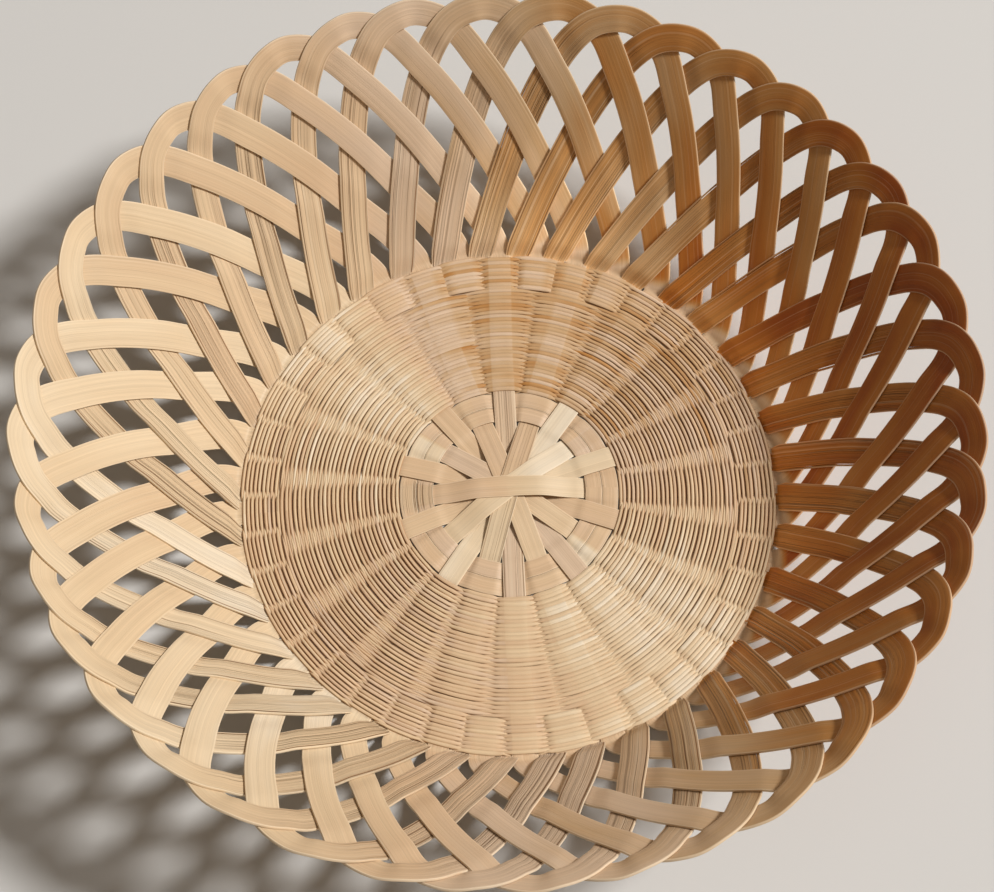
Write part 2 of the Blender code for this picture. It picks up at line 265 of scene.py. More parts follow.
base = {
    "stakeLevel": 0.00115,
    "fieldLevel": 0.00110,
    "fieldInner": 0.0371,
    "fieldOuter": 0.0768,
    "binderOuter": 0.0366,
    "binderInner": 0.0256,
    "binderShift": 0.0004,
    "nextPart": 0.0227,
    "samePart": 0.0111,
    "hubWidth": 0.0072,
    "edgeWidth": 0.0080,
    "hubThickness": 0.00036,
    "hubLayer": 0.00042,
    "hubLift": 0.00012,
    "longStrips": 10,
}


def widthAt(distance):
    share = np.clip((distance - base["nextPart"]) / (wall["baseRadius"] - base["nextPart"]), 0, 1)
    return base["hubWidth"] + (base["edgeWidth"] - base["hubWidth"]) * share


def straightRows(angle, distances, level, columns, spread):
    along = np.array([math.cos(angle), math.sin(angle), 0.0])
    clockwise = np.array([math.sin(angle), -math.cos(angle), 0.0])
    half = widthAt(distances) / 2 * spread["width"]
    points = distances[:, None, None] * along + (columns * half[:, None])[..., None] * clockwise
    points[..., 2] += level[:, None]
    return points, half


def hubLevel(distances, layer, under):
    # below the binding or above it, and then up into the stack in the middle
    sign = 1 if under else -1
    stack = base["hubLift"] + base["hubThickness"] / 2 + layer * base["hubLayer"]
    near = base["fieldLevel"] + sign * base["hubLayer"] / 2
    neck = base["fieldLevel"] - sign * base["binderShift"]
    if under:
        keys = [(0, stack), (base["samePart"] - 0.0020, stack), (base["nextPart"], near)]
    else:
        keys = [(0, stack), (base["samePart"] + 0.0004, stack), (base["samePart"] + 0.0080, near),
                (base["nextPart"], near)]
    keys += [(base["binderInner"], neck), (base["binderOuter"], neck),
             (base["fieldInner"] + 0.001, base["fieldLevel"]),
             (base["fieldOuter"], base["fieldLevel"]), (wall["baseRadius"], base["stakeLevel"])]
    keys = np.array(keys)
    i = np.clip(np.searchsorted(keys[:, 0], distances, side="right") - 1, 0, len(keys) - 2)
    share = smooth((distances - keys[i, 0]) / (keys[i + 1, 0] - keys[i, 0]))
    return keys[i, 1] + (keys[i + 1, 1] - keys[i, 1]) * share


# ---- a flat strip from rows of points: a grid, its slits cut out, then thickness and soft edges

strip = {
    "thickness": 0.00076,
    "crownExtra": 0.00012,
    "hubThickness": 0.00036,
    "footThickness": 0.0005,
    "columns": 8,
    "edgeRound": 0.00013,
    # painted shade: how far the splints are darkened where they run under the strands
    "paintedUnderShade": 0.75,
}


def columnGrid(rowCount, slits):
    # across places for each row, with two more columns round each slit; and the open faces
    plain = np.linspace(-1, 1, strip["columns"] + 1)
    for slit in slits:
        nearest = np.argmin(np.abs(plain[1:-1] - slit["at"])) + 1
        plain = np.delete(plain, nearest)
    places = [(value, None) for value in plain]
    for slit in slits:
        places += [(slit["at"] - 1e-4, (slit, -1)), (slit["at"] + 1e-4, (slit, 1))]
    places.sort(key=lambda place: place[0])
    columns = np.zeros((rowCount, len(places)))
    openFaces = np.zeros((rowCount - 1, len(places) - 1), dtype=bool)
    rowShare = np.linspace(0, 1, rowCount)
    for j, (value, edge) in enumerate(places):
        columns[:, j] = value
        if edge:
            slit, side = edge
            t = np.clip((rowShare - slit["start"]) / (slit["end"] - slit["start"]), 0, 1)
            gape = slit["gape"] * np.sin(np.pi * t) ** 0.6
            columns[:, j] = slit["at"] + side * gape / 2
            if side < 0:
                inside = (gape > 1e-6)
                openFaces[:, j] = inside[1:] | inside[:-1]
    return columns, openFaces


def gridObject(name, points, openFaces, thickness, marks, lengths, widths):
    # a grid primitive laid out on the rows of points
    rowCount, columnCount = points.shape[:2]
    deselectAll()
    bpy.ops.mesh.primitive_grid_add(x_subdivisions=columnCount - 1, y_subdivisions=rowCount - 1,
                                    size=1, calc_uvs=True)
    item = bpy.context.object
    item.name = item.data.name = name
    mesh = item.data
    mesh.vertices.foreach_set("co", handMade(points).reshape(-1).astype(np.float32))

    mesh.uv_layers[0].name = "grain"
    corners = np.empty(len(mesh.loops), dtype=np.int32)
    mesh.loops.foreach_get("vertex_index", corners)
    flat = np.stack([np.broadcast_to(lengths[:, None], widths.shape), widths], axis=-1).reshape(-1, 2)
    mesh.uv_layers[0].data.foreach_set("uv", flat[corners].reshape(-1).astype(np.float32))
    tone = mesh.attributes.new("tone", "FLOAT_COLOR", "POINT")
    tone.data.foreach_set("color", marks.reshape(-1).astype(np.float32))
    rowOf = np.repeat(np.arange(1, rowCount + 1), columnCount).reshape(rowCount, columnCount)
    rowOf[:, 1:-1] = 0
    outer = mesh.attributes.new("outerRow", "INT", "POINT")
    outer.data.foreach_set("value", rowOf.reshape(-1).astype(np.int32))
    full = thickness.max()
    group = item.vertex_groups.new(name="thickness")
    for i, value in enumerate(thickness / full):
        group.add(list(range(i * columnCount, (i + 1) * columnCount)), float(value), "REPLACE")

    if openFaces is not None and openFaces.any():
        chosen = openFaces.reshape(-1)
        bpy.ops.object.mode_set(mode="EDIT")
        bpy.ops.mesh.select_all(action="DESELECT")
        bpy.ops.mesh.select_mode(type="FACE")
        bpy.ops.object.mode_set(mode="OBJECT")
        mesh.polygons.foreach_set("select", chosen)
        bpy.ops.object.mode_set(mode="EDIT")
        bpy.ops.mesh.delete(type="FACE")
        bpy.ops.object.mode_set(mode="OBJECT")
    bpy.ops.object.mode_set(mode="EDIT")
    bpy.ops.mesh.select_all(action="SELECT")
    bpy.ops.mesh.remove_doubles(threshold=0.000004)
    bpy.ops.object.mode_set(mode="OBJECT")
    return item, full


def finishStrip(item, full, material):
    # thickness, rounded edges and normals
    useObject(item)
    solid = item.modifiers.new("thickness", "SOLIDIFY")
    solid.thickness = full
    solid.offset = 0
    solid.vertex_group = "thickness"
    solid.use_even_offset = False
    bpy.ops.object.modifier_apply(modifier=solid.name)

    # only the two long edges are rounded, and the slits stay sharp
    mesh = item.data
    ends = np.empty(len(mesh.edges) * 2, dtype=np.int32)
    mesh.edges.foreach_get("vertices", ends)
    rowOf = np.empty(len(mesh.vertices), dtype=np.int32)
    mesh.attributes["outerRow"].data.foreach_get("value", rowOf)
    first, second = rowOf[ends[0::2]], rowOf[ends[1::2]]
    weight = mesh.attributes.new("bevel_weight_edge", "FLOAT", "EDGE")
    weight.data.foreach_set("value", ((first > 0) & (np.abs(first - second) == 1) & (second > 0)).astype(np.float32))
    bevel = item.modifiers.new("edges", "BEVEL")
    bevel.width = strip["edgeRound"]
    bevel.segments = 2
    bevel.limit_method = "WEIGHT"
    bevel.use_clamp_overlap = False
    bpy.ops.object.modifier_apply(modifier=bevel.name)
    for name in ("bevel_weight_edge", "outerRow"):
        mesh.attributes.remove(mesh.attributes[name])
    item.vertex_groups.clear()
    bpy.ops.object.mode_set(mode="EDIT")
    bpy.ops.mesh.select_all(action="SELECT")
    bpy.ops.mesh.normals_make_consistent(inside=False)
    bpy.ops.object.mode_set(mode="OBJECT")
    bpy.ops.object.shade_smooth_by_angle(angle=math.radians(50))
    item.data.materials.clear()
    item.data.materials.append(material)
    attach(item, "root")


# ---- materials

finishes = {
    "palette": [(0.00, (0.84, 0.71, 0.53)), (0.07, (0.80, 0.63, 0.42)), (0.20, (0.745, 0.555, 0.345)),
                (0.40, (0.70, 0.485, 0.295)), (0.58, (0.71, 0.525, 0.365)), (0.74, (0.60, 0.39, 0.205)),
                (0.85, (0.50, 0.24, 0.074)), (0.93, (0.46, 0.165, 0.029)), (1.00, (0.31, 0.072, 0.008))],
    "lineColour": (0.22, 0.11, 0.045),
    "paleThreadEdgeAndGlint": (0.84, 0.70, 0.50),
    # painted shade colour for the crevices under and between the strands
    "paintedCreviceShade": (0.16, 0.055, 0.014),
    # painted light: what the lower wall's colour is multiplied by
    "paintedLightColour": (2.0, 2.0, 1.9),
    # painted shade: what a strand's colour is multiplied by, from its flanks to its top and underside, so that the
    # grooves between strands are darkened
    "paintedFlankShade": [(0.0, (0.52, 0.25, 0.09)), (0.12, (0.66, 0.37, 0.16)), (0.60, (1.0, 0.95, 0.88)),
              (0.90, (1.0, 1.0, 1.0))],
    "bumpDistance": 0.00022,
}


def addNode(tree, kind, at, **settings):
    node = tree.nodes.new(kind)
    node.location = at
    for key, value in settings.items():
        setattr(node, key, value)
    return node


def mathNode(tree, operation, first, second=None, at=(0, 0), clamp=False):
    node = addNode(tree, "ShaderNodeMath", at, operation=operation, use_clamp=clamp)
    for i, value in enumerate((first, second)):
        if value is None:
            continue
        if isinstance(value, (int, float)):
            node.inputs[i].default_value = value
        else:
            tree.links.new(value, node.inputs[i])
    return node.outputs[0]


def rampNode(tree, factor, stops, at=(0, 0)):
    node = addNode(tree, "ShaderNodeValToRGB", at)
    elements = node.color_ramp.elements
    while len(elements) < len(stops):
        elements.new(0.5)
    for element, (place, colour) in zip(elements, stops):
        element.position = place
        element.color = (*colour, 1.0) if isinstance(colour, tuple) else (colour, colour, colour, 1.0)
    tree.links.new(factor, node.inputs[0])
    return node.outputs[0]


def mixNode(tree, factor, first, second, at=(0, 0), blend="MIX"):
    node = addNode(tree, "ShaderNodeMix", at, data_type="RGBA", blend_type=blend)
    for socket, value in ((node.inputs[0], factor), (node.inputs[6], first), (node.inputs[7], second)):
        if isinstance(value, (int, float)):
            socket.default_value = value
        elif isinstance(value, tuple):
            socket.default_value = (*value, 1.0)
        else:
            tree.links.new(value, socket)
    return node.outputs[2]


def grainGroup():
    # long fibres: fine hair, broad streaks, straight split lines, pale threads and slow patches of colour
    tree = bpy.data.node_groups.new("bambooGrain", "ShaderNodeTree")
    tree.interface.new_socket("Place", in_out="INPUT", socket_type="NodeSocketVector")
    for name in ("Hair", "Streak", "Line", "Rib", "Thread", "Patch", "Sliver"):
        tree.interface.new_socket(name, in_out="OUTPUT", socket_type="NodeSocketFloat")
    inside = addNode(tree, "NodeGroupInput", (-900, 0))
    outside = addNode(tree, "NodeGroupOutput", (900, 0))
    apart = addNode(tree, "ShaderNodeSeparateXYZ", (-700, 0))
    tree.links.new(inside.outputs["Place"], apart.inputs[0])

    def noise(alongScale, acrossScale, layer, detail, y):
        vector = addNode(tree, "ShaderNodeCombineXYZ", (-300, y))
        tree.links.new(mathNode(tree, "MULTIPLY", apart.outputs[0], alongScale, (-500, y)), vector.inputs[0])
        tree.links.new(mathNode(tree, "MULTIPLY", apart.outputs[1], acrossScale, (-500, y - 40)), vector.inputs[1])
        vector.inputs[2].default_value = layer
        node = addNode(tree, "ShaderNodeTexNoise", (-100, y))
        node.inputs["Scale"].default_value = 1.0
        node.inputs["Detail"].default_value = detail
        node.inputs["Roughness"].default_value = 0.6
        tree.links.new(vector.outputs[0], node.inputs["Vector"])
        return node.outputs[0]

    tree.links.new(noise(14, 4200, 9.3, 3.0, 400), outside.inputs["Hair"])
    tree.links.new(noise(4, 1100, 5.6, 2.0, 200), outside.inputs["Streak"])
    split = noise(1.3, 1250, 3.1, 0.0, 0)
    present = rampNode(tree, noise(13, 420, 7.7, 1.0, -200), [(0.38, 0.0), (0.60, 1.0)], (100, -200))
    away = mathNode(tree, "ABSOLUTE", mathNode(tree, "SUBTRACT", split, 0.5, (100, 0)), None, (250, 0))
    line = mathNode(tree, "SUBTRACT", 1.0, mathNode(tree, "DIVIDE", away, 0.034, (400, 0), True), (550, 0), True)
    tree.links.new(mathNode(tree, "MULTIPLY", line, present, (700, 0)), outside.inputs["Line"])
    away = mathNode(tree, "ABSOLUTE", mathNode(tree, "SUBTRACT", noise(1.6, 2100, 17.2, 0.0, -1000), 0.5, (100, -1000)),
                    None, (250, -1000))
    rib = mathNode(tree, "SUBTRACT", 1.0, mathNode(tree, "DIVIDE", away, 0.042, (400, -1000), True), (550, -1000), True)
    tree.links.new(rib, outside.inputs["Rib"])
    thread = rampNode(tree, noise(2.2, 1900, 11.4, 0.0, -400), [(0.62, 0.0), (0.74, 1.0)], (100, -400))
    tree.links.new(thread, outside.inputs["Thread"])
    tree.links.new(noise(16, 70, 2.5, 2.0, -600), outside.inputs["Patch"])
    sliver = rampNode(tree, noise(11, 150, 13.8, 0.0, -800), [(0.43, 0.0), (0.50, 1.0)], (100, -800))
    tree.links.new(sliver, outside.inputs["Sliver"])
    return tree


def bambooMaterial(name, group, look):
    material = bpy.data.materials.new(name)
    material.use_nodes = True
    tree = material.node_tree
    shader = tree.nodes["Principled BSDF"]
    shader.inputs["Specular IOR Level"].default_value = look["gloss"]
    shader.inputs["Metallic"].default_value = 0.0
    place = addNode(tree, "ShaderNodeUVMap", (-1500, 200), uv_map="grain")
    tone = addNode(tree, "ShaderNodeAttribute", (-1500, -100), attribute_name="tone")
    marks = addNode(tree, "ShaderNodeSeparateColor", (-1300, -100))
    tree.links.new(tone.outputs["Color"], marks.inputs[0])
    grain = addNode(tree, "ShaderNodeGroup", (-1100, 200))
    grain.node_tree = group
    tree.links.new(place.outputs[0], grain.inputs["Place"])

    drift = mathNode(tree, "MULTIPLY", mathNode(tree, "SUBTRACT", grain.outputs["Patch"], 0.5), look["patch"])
    shade = mathNode(tree, "ADD", marks.outputs[0], drift, (-900, 0), True)
    colour = rampNode(tree, shade, finishes["palette"], (-700, 200))
    hair = rampNode(tree, grain.outputs["Hair"], [(0.30, look["hair"]), (0.70, 1.0)], (-700, 0))
    colour = mixNode(tree, 1.0, colour, hair, (-400, 200), "MULTIPLY")
    streak = rampNode(tree, grain.outputs["Streak"], [(0.32, look["streak"]), (0.66, 1.0)], (-700, -200))
    fibrous = mathNode(tree, "MULTIPLY_ADD", marks.outputs[1], 0.65, (-500, -200), True)
    fibrous.node.inputs[2].default_value = 0.35
    colour = mixNode(tree, fibrous, colour, streak, (-250, 200), "MULTIPLY")
    ribbed = mathNode(tree, "MULTIPLY", grain.outputs["Line"], marks.outputs[1], (-700, -400))
    dense = mathNode(tree, "SUBTRACT", marks.outputs[1], 1.0, (-900, -500), True)
    dense = mathNode(tree, "MULTIPLY", grain.outputs["Rib"], dense, (-800, -500))
    ribbed = mathNode(tree, "MAXIMUM", ribbed, dense, (-600, -400))
    strength = mathNode(tree, "MULTIPLY", ribbed, look["line"], (-500, -400))
    colour = mixNode(tree, strength, colour, finishes["lineColour"], (-100, 200))
    pale = mathNode(tree, "MULTIPLY", grain.outputs["Thread"], look["thread"], (-500, -300))
    pale = mathNode(tree, "MULTIPLY", pale, fibrous, (-350, -300), True)
    colour = mixNode(tree, pale, colour, finishes["paleThreadEdgeAndGlint"], (-50, 200))
    if look["sliver"]:
        inside = rampNode(tree, marks.outputs[2], [(0.79, 0.0), (0.83, 1.0), (0.86, 1.0), (0.90, 0.0)], (-500, -800))
        inside = mathNode(tree, "MULTIPLY", inside, grain.outputs["Sliver"], (-350, -800))
        inside = mathNode(tree, "MULTIPLY", inside, mathNode(tree, "MULTIPLY", marks.outputs[1], look["sliver"]),
                          (-200, -800), True)
        colour = mixNode(tree, inside, colour, finishes["lineColour"], (0, 200))
    # pale cut edges, partly a painted highlight along them
    if look["edge"]:
        edgeGlint = rampNode(tree, marks.outputs[2], [(0.90, 0.0), (0.985, look["edge"])], (-500, -600))
        colour = mixNode(tree, edgeGlint, colour, finishes["paleThreadEdgeAndGlint"], (50, 200))
    # painted shade on the strands' flanks
    if look["paintedCreviceShade"]:
        paintedFlank = rampNode(tree, marks.outputs[2], finishes["paintedFlankShade"], (-500, -600))
        paintedFlank = mixNode(tree, marks.outputs[1], (1.0, 1.0, 1.0), paintedFlank, (-300, -700))
        colour = mixNode(tree, look["paintedCreviceShade"], colour, paintedFlank, (50, 200), "MULTIPLY")
    # painted shade where the tone's alpha is below 1
    paintedUnderShade = mathNode(tree, "SUBTRACT", 1.0, tone.outputs["Alpha"], (50, 300))
    colour = mixNode(tree, paintedUnderShade, colour, finishes["paintedCreviceShade"], (150, 200))
    # painted light where the tone's alpha is above 1
    paintedLift = mathNode(tree, "SUBTRACT", tone.outputs["Alpha"], 1.0, (50, 400), True)
    colour = mixNode(tree, paintedLift, colour, finishes["paintedLightColour"], (250, 200), "MULTIPLY")
    tree.links.new(colour, shader.inputs["Base Color"])
    rough = mathNode(tree, "MULTIPLY_ADD", grain.outputs["Hair"], 0.22, (-100, -100))
    rough.node.inputs[2].default_value = look["rough"]
    tree.links.new(rough, shader.inputs["Roughness"])

    height = mathNode(tree, "MULTIPLY", grain.outputs["Hair"], look["hairBump"], (-300, -600))
    height = mathNode(tree, "ADD", height, mathNode(tree, "MULTIPLY", grain.outputs["Streak"], look["streakBump"]),
                      (-150, -600))
    height = mathNode(tree, "SUBTRACT", height, mathNode(tree, "MULTIPLY", ribbed, look["lineBump"]), (0, -600))
    bump = addNode(tree, "ShaderNodeBump", (150, -600))
    bump.inputs["Strength"].default_value = 1.0
    bump.inputs["Distance"].default_value = finishes["bumpDistance"]
    tree.links.new(height, bump.inputs["Height"])
    tree.links.new(bump.outputs[0], shader.inputs["Normal"])
    return material


grain = grainGroup()
splintMaterial = bambooMaterial("splintBamboo", grain, {
    "patch": 0.30, "hair": 0.88, "streak": 0.78, "line": 0.78, "thread": 0.22, "edge": 0.40, "sliver": 0.85, "paintedCreviceShade": 0.0,
    "rough": 0.33, "gloss": 0.22, "hairBump": 0.20, "streakBump": 0.45, "lineBump": 0.9})
strandMaterial = bambooMaterial("strandBamboo", grain, {
    "patch": 0.5, "hair": 0.88, "streak": 0.90, "line": 0.25, "thread": 0.2, "edge": 0.0, "sliver": 0.0, "paintedCreviceShade": 0.92,
    "rough": 0.42, "gloss": 0.16, "hairBump": 0.25, "streakBump": 0.3, "lineBump": 0.3})
print("materials made")


# ---- splints

variation = {
    "width": 0.03,
    "lift": 0.0004,
    "lean": 0.035,
    "bulge": 0.00017,
    "nearCrown": 0.16,
    "ribInner": (0.45, 1.5),
    "ribOuter": (0.0, 0.22),
    # more ribs on the inner legs, by azimuth in degrees
    "ribMore": [(0, 0.0), (60, 0.0), (90, 0.3), (120, 0.0), (225, 0.0), (250, 0.2), (270, 0.7), (315, 0.8),
                (335, 0.2), (360, 0.0)],
    # tone of the wall by azimuth in degrees: partly the splints' own colour and partly painted shade, darkest brown
    # where the inner face is turned away from the key lamp
    "tones": [(0, 0.94), (40, 0.92), (64, 0.86), (90, 0.74), (108, 0.57), (130, 0.27), (180, 0.23), (205, 0.16),
              (228, 0.05), (250, 0.34), (265, 0.52), (288, 0.61), (315, 0.86), (335, 0.94), (360, 0.94)],
    # painted light: how much lighter the wall is made near the base, by azimuth in degrees, and up to which share of
    # its height
    "paintedLowLight": [(0, 0.68), (30, 0.66), (45, 0.64), (60, 0.42), (78, 0.78), (92, 0.60), (108, 0.0), (300, 0.0),
                 (318, 0.25), (335, 0.66), (360, 0.68)],
    "lowShare": 0.70,
    "toneSpread": 0.075,
    "crownTone": 0.07,
    "stakeTone": 0.38,          # the first millimetres of a stake outside the base are paler
    "stakeToneRun": 0.007,
    "slitGape": (0.03, 0.055),
    "slitPlace": (0.78, 0.87),
    "innerSlitShare": 0.75,
    "crownSlitShare": 0.18,
}


def loopSlits(footShare, loopShare):
    # a sliver along an edge of the inner leg, and one along the outer edge at the rim
    slits = []
    low, high = variation["slitPlace"]
    if rng.random() < variation["innerSlitShare"]:
        start = footShare + loopShare * rng.uniform(0.02, 0.14)
        slits.append({"at": float(rng.choice([-1, 1], p=[0.3, 0.7]) * rng.uniform(low, high)), "start": start,
                      "end": start + loopShare * rng.uniform(0.16, 0.30)})
    if rng.random() < variation["crownSlitShare"]:
        start = footShare + loopShare * rng.uniform(0.34, 0.42)
        slits.append({"at": float(rng.uniform(low, high)), "start": start,
                      "end": start + loopShare * rng.uniform(0.10, 0.24)})
    for slit in slits:
        slit["gape"] = rng.uniform(*variation["slitGape"])
    if len(slits) > 1 and abs(slits[0]["at"] - slits[1]["at"]) < 0.3:
        slits[1]["at"] = slits[0]["at"] + 0.004
        slits[1]["start"] = max(slits[1]["start"], slits[0]["end"] + 0.02)
        slits[1]["end"] = max(slits[1]["end"], slits[1]["start"] + 0.06)
    return slits


def loopSpread(rowCount):
    return {
        "width": 1 + wander(rowCount, 0.23, 0.03, variation["width"]),
        "lift": rng.normal(0, variation["lift"]),
        "lean": rng.normal(0, variation["lean"]),
        "bulge": variation["bulge"] * rng.uniform(0.4, 1.6),
    }


footRowCount = 6
loopSteps = np.arange(0, len(way["turn"]), wall["rowStep"]).astype(float)


def halfStrip(angle, distances, level, slit):
    # foot, loop and the straight part, as points with their thickness and marks
    rowCount = footRowCount + len(loopSteps) + len(distances)
    slits = loopSlits(footRowCount / rowCount, len(loopSteps) / rowCount) if slit else []
    columns, openFaces = columnGrid(rowCount, slits)
    spread = loopSpread(len(loopSteps))
    a, b = footRowCount, footRowCount + len(loopSteps)
    loop, loopHalf = loopRows(angle, columns[a:b], loopSteps, spread)

    footAngle = angle + (wall["route"][-1][0] - wall["route"][0][0] - spread["lean"]) * pitch
    reach = np.linspace(1, 0, footRowCount, endpoint=False)
    footHalf = (wall["footWidth"] + (wall["footTipWidth"] - wall["footWidth"]) * reach) / 2
    along = np.array([math.cos(footAngle), math.sin(footAngle), 0.0])
    sideways = np.array([-math.sin(footAngle), math.cos(footAngle), 0.0])
    foot = ((wall["baseRadius"] - wall["footPull"] - wall["footDepth"] * reach)[:, None, None] * along
            + (columns[:a] * footHalf[:, None])[..., None] * sideways)
    foot[..., 2] += (wall["seatLevel"] - wall["footDrop"] - wall["footSink"] * reach)[:, None]

    straight, straightHalf = straightRows(angle - spread["lean"] * pitch, distances, level, columns[b:],
                                          {"width": 1.0})
    turned = smooth((wall["baseRadius"] - distances) / 0.012)[:, None, None]
    plain, _ = straightRows(angle, distances, level, columns[b:], {"width": 1.0})
    straight = straight * (1 - turned) + plain * turned
    points = np.concatenate([foot, loop, straight])
    halves = np.concatenate([footHalf, loopHalf, straightHalf])

    middle = points[:, points.shape[1] // 2]
    lengths = np.concatenate([[0.0], np.cumsum(np.linalg.norm(np.diff(middle, axis=0), axis=1))])
    rowIndex = np.arange(rowCount)
    thick = np.full(rowCount, strip["thickness"])
    thick = np.where(rowIndex < a + 4, strip["footThickness"], thick)
    grown = smooth((rowIndex - a - 3) / 6)
    thick = np.where(rowIndex < a + 10, strip["footThickness"] + (strip["thickness"] - strip["footThickness"])
                     * grown, thick)
    inBase = smooth((wall["baseRadius"] - distances) / 0.008)
    fieldThickness = 0.0005
    thin = strip["thickness"] + (fieldThickness - strip["thickness"]) * inBase
    hubward = smooth((base["fieldInner"] + 0.004 - distances) / 0.012)
    thick[b:] = thin + (strip["hubThickness"] - thin) * hubward

    crownRow = way["crown"] / wall["rowStep"]
    thick = thick + strip["crownExtra"] * np.exp(-((rowIndex - a - crownRow) / 14.0) ** 2)
    crownShare = smooth((rowIndex - a - crownRow + 34) / 30)
    footAzimuth = math.degrees(footAngle) % 360
    innerRib = rng.uniform(*variation["ribInner"]) + np.interp(footAzimuth, *zip(*variation["ribMore"]))
    outerRib = rng.uniform(*variation["ribOuter"])
    rib = innerRib + (outerRib - innerRib) * crownShare
    rib[b:] = 0.45
    woven = (smooth((wall["baseRadius"] - 0.001 - distances) / 0.001)
             * smooth((distances - base["fieldInner"]) / 0.001))
    # wall tone by azimuth, which carries painted shade on the side turned away from the key lamp
    azimuths, tones = zip(*variation["tones"])
    azimuth = np.degrees(np.arctan2(middle[:, 1], middle[:, 0])) % 360
    drift = np.interp(azimuth, azimuths, tones) + wander(rowCount, 0.3, 0.05, 0.025)
    drift = drift + rng.normal(0, variation["toneSpread"]) * np.clip(1.1 - drift, 0.15, 1)
    drift = drift + variation["crownTone"] * drift ** 3 * np.exp(-((rowIndex - a - crownRow) / 14.0) ** 2)
    outside = np.ones(rowCount)
    outside[b:] = 0
    stakeSlant = np.interp(loopSteps, np.arange(len(way["slant"])), way["slant"])
    outside[a:b] = np.where(loopSteps < way["crown"], 1, smooth(stakeSlant / variation["stakeToneRun"]))
    drift = drift - np.maximum(drift - variation["stakeTone"], 0) * (1 - outside)
    marks = np.ones((rowCount, columns.shape[1], 4))
    marks[..., 0] = np.clip(drift, 0.03, 0.98)[:, None]
    marks[..., 1] = rib[:, None]
    marks[..., 2] = np.abs(columns)
    # painted shade: the splints darken towards the crevice colour where they run under the strands
    marks[b:, :, 3] = 1 - strip["paintedUnderShade"] * woven[:, None]
    # painted light: the lower wall is lightened, by azimuth
    low = (1 - smooth(stakeSlant / crownSlant / variation["lowShare"])) * outside[a:b]
    marks[a:b, :, 3] = (1 + np.interp(azimuth[a:b], *zip(*variation["paintedLowLight"])) * low)[:, None]
    widths = columns * halves[:, None]
    return points, openFaces, thick, marks, lengths, widths


def makeShort(number, stakeAngle):
    distances = np.linspace(wall["baseRadius"] - 0.0008, 0.0775, 8)
    level = np.full(len(distances), base["stakeLevel"])
    parts = halfStrip(stakeAngle, distances, level, True)
    points, openFaces, thick, marks, lengths, widths = parts
    item, full = gridObject(f"short_strip_{number:02d}", points, openFaces, thick, marks,
                            lengths + number * 0.71, widths)
    finishStrip(item, full, splintMaterial)
    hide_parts(f"short_splint_{number:02d}")
    return item


def flipHalf(parts):
    # the other end of the same splint, from the middle outwards
    points, openFaces, thick, marks, lengths, widths = parts
    return (points[::-1, ::-1], openFaces[::-1, ::-1], thick[::-1], marks[::-1, ::-1],
            lengths[-1] * 2 - lengths[::-1], widths[::-1, ::-1])


def makeLong(number, angle, layer, under, tones, hubRib):
    distances = np.concatenate([np.linspace(wall["baseRadius"] - 0.0008, 0.040, 26),
                                np.linspace(0.0385, 0.0, 34)])
    level = hubLevel(distances, layer, under)
    ends = []
    for k, turned in enumerate((0.0, math.pi)):
        ends.append(halfStrip(angle + turned, distances, level, False))
    near, far = ends[0], flipHalf(ends[1])
    points, openFaces, thick, marks, lengths, widths = [
        np.concatenate([near[i], far[i][1:]]) if i != 1 else None for i in range(6)]
    # the two ends blend their colour across the middle
    fromMiddle = lengths - near[4][-1]
    hubTone = tones[0] + (tones[1] - tones[0]) * smooth(fromMiddle / 0.03 + 0.5)
    inHub = smooth((base["fieldInner"] + 0.012 - np.abs(fromMiddle)) / 0.012)
    marks[..., 0] += ((hubTone + wander(len(lengths), 0.6, 0.05, 0.02))[:, None] - marks[..., 0]) * inHub[:, None]
    marks[..., 1] += (hubRib - marks[..., 1]) * inHub[:, None]
    widths[len(near[4]):] *= -1
    item, full = gridObject(f"long_strip_{number:02d}", points, openFaces, thick, marks,
                            lengths + number * 1.13, widths)
    finishStrip(item, full, splintMaterial)
    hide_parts(f"long_splint_{number:02d}")
    return item


spokes = base["longStrips"] * 2
hubTones = [(0.12, 0.48), (0.09, 0.30), (0.00, 0.20), (0.01, 0.06), (0.44, 0.14),
            (0.46, 0.58), (0.46, 0.24), (0.42, 0.54), (0.60, 0.30), (0.38, 0.42)]
hubRibs = [0.1, 0.1, 0.05, 0.15, 0.7, 1.0, 0.2, 0.15, 0.2, 0.1]
for i in range(base["longStrips"]):
    under = i % 2 == 0
    place = (base["longStrips"] - 1 - i) // 2
    layer = place + math.ceil(base["longStrips"] / 2) if under else place
    makeLong(i + 1, wall["firstAngle"] + i * math.tau / spokes, layer, under, hubTones[i], hubRibs[i])
print("long strips made")
for i in range(spokes):
    makeShort(i + 1, wall["firstAngle"] + (2 * i + 1) * pitch)
print("short strips made")


# ---- hub binding: two flat splints wound over and under the spokes

binder = {
    "rings": [(0.0256, 0.03112), (0.03122, 0.0366)],
    "thickness": 0.00045,
    "steps": 12,
    "names": ["hub_binder_inner", "hub_binder_outer"],
    "slits": [[0.55, -0.35], [0.1]],
    "tones": [0.42, 0.40],
    # pale pieces of the winding: azimuth in degrees, reach and tone
    "paleParts": [(153, 9, 0.00), (315, 10, 0.01), (201, 8, 0.50), (183, 8, 0.30), (120, 9, 0.34), (30, 12, 0.60)],
}


